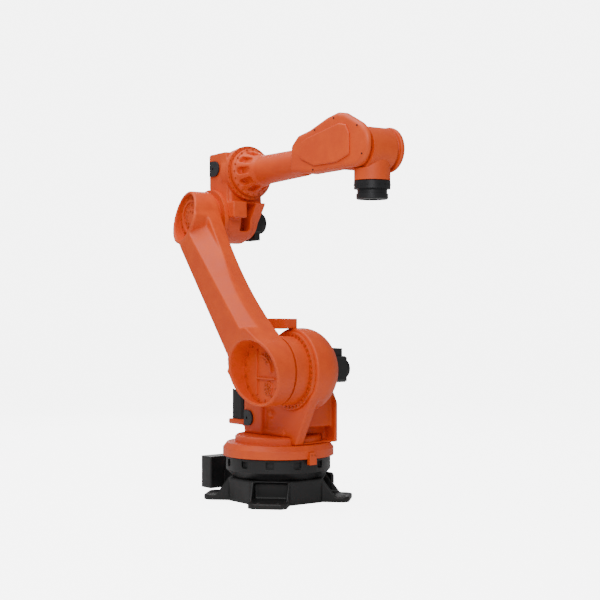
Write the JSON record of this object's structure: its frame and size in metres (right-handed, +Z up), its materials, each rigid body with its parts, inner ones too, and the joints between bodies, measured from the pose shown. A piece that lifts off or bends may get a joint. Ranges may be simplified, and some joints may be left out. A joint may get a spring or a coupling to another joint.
{
  "type": "industrial robot arm",
  "caption": "Six-axis articulated industrial robot arm on a cast four-footed base, with a slewing column, link arm, elbow, forearm, wrist and bolt-circle tool flange.",
  "frame": {"origin": "on the floor, on the axis of the slewing base, at the middle of the base's underside", "axes": "+X is the way the arm reaches, +Y is its left, +Z is up; the link arm stands on the -Y side"},
  "size_m": [1.8968, 0.8879, 2.5226],
  "materials": {
    "orange_paint": "satin orange paint on cast metal",
    "black_castings": "satin black paint on cast iron",
    "motor_black": "matte black painted motor housings",
    "dark_covers": "dark grey plastic cover"
  },
  "bodies": {
    "base": {"base_casting": "black_castings", "base_side_plate": "black_castings", "ring_housing": "black_castings", "base_stop": "black_castings", "connector_box": "black_castings", "connector_panel": "black_castings"},
    "turntable": {"turntable_disc": "orange_paint", "slew_stop": "orange_paint", "column_casting": "orange_paint", "lifting_lug": "orange_paint", "column_cover": "dark_covers", "axis1_motor": "motor_black", "axis1_motor_cap": "motor_black", "axis2_motor": "motor_black", "axis2_motor_cap": "motor_black", "shoulder_flange": "orange_paint", "shoulder_gearbox": "orange_paint"},
    "link": {"link_arm": "orange_paint", "lower_hub_plate": "orange_paint", "upper_hub_plate": "orange_paint"},
    "elbow": {"elbow_gearbox": "orange_paint", "elbow_flange": "orange_paint", "elbow_housing": "orange_paint", "forearm_bearing_ring": "orange_paint", "elbow_cover": "dark_covers", "axis3_motor": "motor_black", "axis3_motor_cap": "motor_black", "axis4_motor": "motor_black", "axis4_motor_cap": "motor_black"},
    "forearm": {"forearm_tube": "orange_paint", "hose_lug": "orange_paint", "wrist_housing": "orange_paint", "belt_cover": "orange_paint", "wrist_cap": "orange_paint"},
    "wrist": {"wrist_body": "orange_paint"},
    "flange": {"tool_flange": "motor_black"}
  },
  "joints": [
    {"name": "axis_1_slew", "type": "hinge", "parent": "base", "child": "turntable", "pos_m": [0, 0, 0.3], "axis": [0, 0, 1], "range_deg": [-165, 165]},
    {"name": "axis_2_shoulder", "type": "hinge", "parent": "turntable", "child": "link", "pos_m": [0.28, 0, 0.886], "axis": [0, 1, 0], "range_deg": [-20, 70]},
    {"name": "axis_3_elbow", "type": "hinge", "parent": "link", "child": "elbow", "pos_m": [-0.55464, 0, 1.92408], "axis": [0, 1, 0], "range_deg": [-60, 32]},
    {"name": "axis_4_forearm_roll", "type": "hinge", "parent": "elbow", "child": "forearm", "pos_m": [-0.56539, 0, 2.23189], "axis": [0.9994, 0, 0.0349], "range_deg": [-180, 180]},
    {"name": "axis_5_wrist_bend", "type": "hinge", "parent": "forearm", "child": "wrist", "pos_m": [0.98867, 0, 2.28616], "axis": [0, 1, 0], "range_deg": [-190, 12]},
    {"name": "axis_6_tool_spin", "type": "hinge", "parent": "wrist", "child": "flange", "pos_m": [0.98867, 0, 1.97316], "axis": [0, 0, 1], "range_deg": [-360, 360]}
  ]
}
